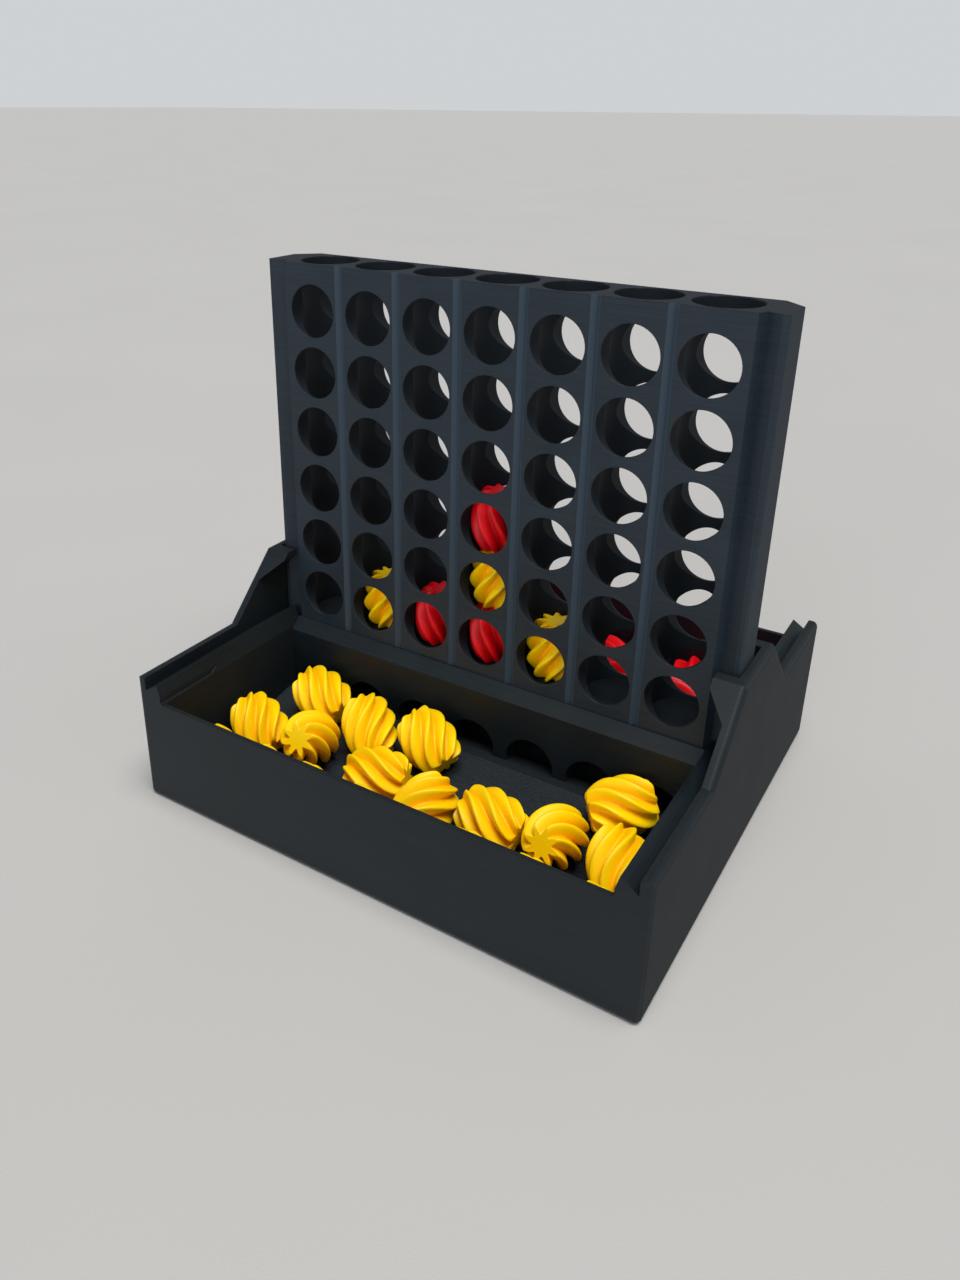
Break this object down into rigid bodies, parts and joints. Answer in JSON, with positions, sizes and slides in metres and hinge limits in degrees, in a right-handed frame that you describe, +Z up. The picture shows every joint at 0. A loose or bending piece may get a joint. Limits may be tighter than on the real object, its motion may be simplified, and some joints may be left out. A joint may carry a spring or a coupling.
{
  "type": "four in a row frame",
  "caption": "Upright grid with round windows standing in a two-tray storage base, with twisted barrel playing pieces in two colours.",
  "frame": {"origin": "centre of the base's flat underside", "axes": "+Z up, +X to the players' right along the grid, +Y through the grid to the rear tray"},
  "size_m": [0.2012, 0.181, 0.1934],
  "materials": {
    "base_plastic": "satin charcoal printed plastic",
    "frame_plastic": "satin charcoal printed plastic",
    "yellow_plastic": "satin saturated yellow",
    "red_plastic": "satin saturated red"
  },
  "bodies": {
    "base_tray": {"base_tray": "base_plastic"},
    "grid_frame": {"grid_frame": "frame_plastic"},
    "yellow_piece_01": {"yellow_piece_01": "yellow_plastic"},
    "yellow_piece_02": {"yellow_piece_02": "yellow_plastic"},
    "yellow_piece_03": {"yellow_piece_03": "yellow_plastic"},
    "yellow_piece_04": {"yellow_piece_04": "yellow_plastic"},
    "yellow_piece_05": {"yellow_piece_05": "yellow_plastic"},
    "yellow_piece_06": {"yellow_piece_06": "yellow_plastic"},
    "yellow_piece_07": {"yellow_piece_07": "yellow_plastic"},
    "yellow_piece_08": {"yellow_piece_08": "yellow_plastic"},
    "yellow_piece_09": {"yellow_piece_09": "yellow_plastic"},
    "yellow_piece_10": {"yellow_piece_10": "yellow_plastic"},
    "yellow_piece_11": {"yellow_piece_11": "yellow_plastic"},
    "yellow_piece_12": {"yellow_piece_12": "yellow_plastic"},
    "yellow_piece_13": {"yellow_piece_13": "yellow_plastic"},
    "yellow_piece_14": {"yellow_piece_14": "yellow_plastic"},
    "yellow_piece_15": {"yellow_piece_15": "yellow_plastic"},
    "yellow_piece_16": {"yellow_piece_16": "yellow_plastic"},
    "yellow_piece_17": {"yellow_piece_17": "yellow_plastic"},
    "yellow_piece_18": {"yellow_piece_18": "yellow_plastic"},
    "yellow_piece_19": {"yellow_piece_19": "yellow_plastic"},
    "yellow_piece_20": {"yellow_piece_20": "yellow_plastic"},
    "yellow_piece_21": {"yellow_piece_21": "yellow_plastic"},
    "red_piece_01": {"red_piece_01": "red_plastic"},
    "red_piece_02": {"red_piece_02": "red_plastic"},
    "red_piece_03": {"red_piece_03": "red_plastic"},
    "red_piece_04": {"red_piece_04": "red_plastic"},
    "red_piece_05": {"red_piece_05": "red_plastic"},
    "red_piece_06": {"red_piece_06": "red_plastic"},
    "red_piece_07": {"red_piece_07": "red_plastic"},
    "red_piece_08": {"red_piece_08": "red_plastic"},
    "red_piece_09": {"red_piece_09": "red_plastic"},
    "red_piece_10": {"red_piece_10": "red_plastic"},
    "red_piece_11": {"red_piece_11": "red_plastic"},
    "red_piece_12": {"red_piece_12": "red_plastic"},
    "red_piece_13": {"red_piece_13": "red_plastic"},
    "red_piece_14": {"red_piece_14": "red_plastic"},
    "red_piece_15": {"red_piece_15": "red_plastic"},
    "red_piece_16": {"red_piece_16": "red_plastic"},
    "red_piece_17": {"red_piece_17": "red_plastic"},
    "red_piece_18": {"red_piece_18": "red_plastic"},
    "red_piece_19": {"red_piece_19": "red_plastic"},
    "red_piece_20": {"red_piece_20": "red_plastic"},
    "red_piece_21": {"red_piece_21": "red_plastic"}
  },
  "joints": [
    {"name": "frame_lift", "type": "slide", "parent": "base_tray", "child": "grid_frame", "axis": [0, 0, 1], "range_m": [0, 0.07]},
    {"name": "yellow_piece_01_lift", "type": "slide", "parent": "grid_frame", "child": "yellow_piece_01", "axis": [0, 0, 1], "range_m": [0, 0.15]},
    {"name": "yellow_piece_02_lift", "type": "slide", "parent": "red_piece_02", "child": "yellow_piece_02", "axis": [0, 0, 1], "range_m": [0, 0.127]},
    {"name": "yellow_piece_03_lift", "type": "slide", "parent": "grid_frame", "child": "yellow_piece_03", "axis": [0, 0, 1], "range_m": [0, 0.15]},
    {"name": "yellow_piece_04_lift", "type": "slide", "parent": "base_tray", "child": "yellow_piece_04", "axis": [0, 0, 1], "range_m": [0, 0.08]},
    {"name": "yellow_piece_05_lift", "type": "slide", "parent": "base_tray", "child": "yellow_piece_05", "axis": [0, 0, 1], "range_m": [0, 0.08]},
    {"name": "yellow_piece_06_lift", "type": "slide", "parent": "base_tray", "child": "yellow_piece_06", "axis": [0, 0, 1], "range_m": [0, 0.08]},
    {"name": "yellow_piece_07_lift", "type": "slide", "parent": "base_tray", "child": "yellow_piece_07", "axis": [0, 0, 1], "range_m": [0, 0.08]},
    {"name": "yellow_piece_08_lift", "type": "slide", "parent": "base_tray", "child": "yellow_piece_08", "axis": [0, 0, 1], "range_m": [0, 0.08]},
    {"name": "yellow_piece_09_lift", "type": "slide", "parent": "base_tray", "child": "yellow_piece_09", "axis": [0, 0, 1], "range_m": [0, 0.08]},
    {"name": "yellow_piece_10_lift", "type": "slide", "parent": "base_tray", "child": "yellow_piece_10", "axis": [0, 0, 1], "range_m": [0, 0.08]},
    {"name": "yellow_piece_11_lift", "type": "slide", "parent": "base_tray", "child": "yellow_piece_11", "axis": [0, 0, 1], "range_m": [0, 0.08]},
    {"name": "yellow_piece_12_lift", "type": "slide", "parent": "base_tray", "child": "yellow_piece_12", "axis": [0, 0, 1], "range_m": [0, 0.08]},
    {"name": "yellow_piece_13_lift", "type": "slide", "parent": "base_tray", "child": "yellow_piece_13", "axis": [0, 0, 1], "range_m": [0, 0.08]},
    {"name": "yellow_piece_14_lift", "type": "slide", "parent": "base_tray", "child": "yellow_piece_14", "axis": [0, 0, 1], "range_m": [0, 0.08]},
    {"name": "yellow_piece_15_lift", "type": "slide", "parent": "base_tray", "child": "yellow_piece_15", "axis": [0, 0, 1], "range_m": [0, 0.08]},
    {"name": "yellow_piece_16_lift", "type": "slide", "parent": "base_tray", "child": "yellow_piece_16", "axis": [0, 0, 1], "range_m": [0, 0.08]},
    {"name": "yellow_piece_17_lift", "type": "slide", "parent": "base_tray", "child": "yellow_piece_17", "axis": [0, 0, 1], "range_m": [0, 0.08]},
    {"name": "yellow_piece_18_lift", "type": "slide", "parent": "base_tray", "child": "yellow_piece_18", "axis": [0, 0, 1], "range_m": [0, 0.08]},
    {"name": "yellow_piece_19_lift", "type": "slide", "parent": "base_tray", "child": "yellow_piece_19", "axis": [0, 0, 1], "range_m": [0, 0.08]},
    {"name": "yellow_piece_20_lift", "type": "slide", "parent": "base_tray", "child": "yellow_piece_20", "axis": [0, 0, 1], "range_m": [0, 0.08]},
    {"name": "yellow_piece_21_lift", "type": "slide", "parent": "base_tray", "child": "yellow_piece_21", "axis": [0, 0, 1], "range_m": [0, 0.08]},
    {"name": "red_piece_01_lift", "type": "slide", "parent": "grid_frame", "child": "red_piece_01", "axis": [0, 0, 1], "range_m": [0, 0.15]},
    {"name": "red_piece_02_lift", "type": "slide", "parent": "grid_frame", "child": "red_piece_02", "axis": [0, 0, 1], "range_m": [0, 0.15]},
    {"name": "red_piece_03_lift", "type": "slide", "parent": "yellow_piece_02", "child": "red_piece_03", "axis": [0, 0, 1], "range_m": [0, 0.104]},
    {"name": "red_piece_04_lift", "type": "slide", "parent": "base_tray", "child": "red_piece_04", "axis": [0, 0, 1], "range_m": [0, 0.08]},
    {"name": "red_piece_05_lift", "type": "slide", "parent": "base_tray", "child": "red_piece_05", "axis": [0, 0, 1], "range_m": [0, 0.08]},
    {"name": "red_piece_06_lift", "type": "slide", "parent": "base_tray", "child": "red_piece_06", "axis": [0, 0, 1], "range_m": [0, 0.08]},
    {"name": "red_piece_07_lift", "type": "slide", "parent": "base_tray", "child": "red_piece_07", "axis": [0, 0, 1], "range_m": [0, 0.08]},
    {"name": "red_piece_08_lift", "type": "slide", "parent": "base_tray", "child": "red_piece_08", "axis": [0, 0, 1], "range_m": [0, 0.08]},
    {"name": "red_piece_09_lift", "type": "slide", "parent": "base_tray", "child": "red_piece_09", "axis": [0, 0, 1], "range_m": [0, 0.08]},
    {"name": "red_piece_10_lift", "type": "slide", "parent": "base_tray", "child": "red_piece_10", "axis": [0, 0, 1], "range_m": [0, 0.08]},
    {"name": "red_piece_11_lift", "type": "slide", "parent": "base_tray", "child": "red_piece_11", "axis": [0, 0, 1], "range_m": [0, 0.08]},
    {"name": "red_piece_12_lift", "type": "slide", "parent": "base_tray", "child": "red_piece_12", "axis": [0, 0, 1], "range_m": [0, 0.08]},
    {"name": "red_piece_13_lift", "type": "slide", "parent": "base_tray", "child": "red_piece_13", "axis": [0, 0, 1], "range_m": [0, 0.08]},
    {"name": "red_piece_14_lift", "type": "slide", "parent": "base_tray", "child": "red_piece_14", "axis": [0, 0, 1], "range_m": [0, 0.08]},
    {"name": "red_piece_15_lift", "type": "slide", "parent": "base_tray", "child": "red_piece_15", "axis": [0, 0, 1], "range_m": [0, 0.08]},
    {"name": "red_piece_16_lift", "type": "slide", "parent": "base_tray", "child": "red_piece_16", "axis": [0, 0, 1], "range_m": [0, 0.08]},
    {"name": "red_piece_17_lift", "type": "slide", "parent": "base_tray", "child": "red_piece_17", "axis": [0, 0, 1], "range_m": [0, 0.08]},
    {"name": "red_piece_18_lift", "type": "slide", "parent": "base_tray", "child": "red_piece_18", "axis": [0, 0, 1], "range_m": [0, 0.08]},
    {"name": "red_piece_19_lift", "type": "slide", "parent": "base_tray", "child": "red_piece_19", "axis": [0, 0, 1], "range_m": [0, 0.08]},
    {"name": "red_piece_20_lift", "type": "slide", "parent": "base_tray", "child": "red_piece_20", "axis": [0, 0, 1], "range_m": [0, 0.08]},
    {"name": "red_piece_21_lift", "type": "slide", "parent": "base_tray", "child": "red_piece_21", "axis": [0, 0, 1], "range_m": [0, 0.08]}
  ]
}
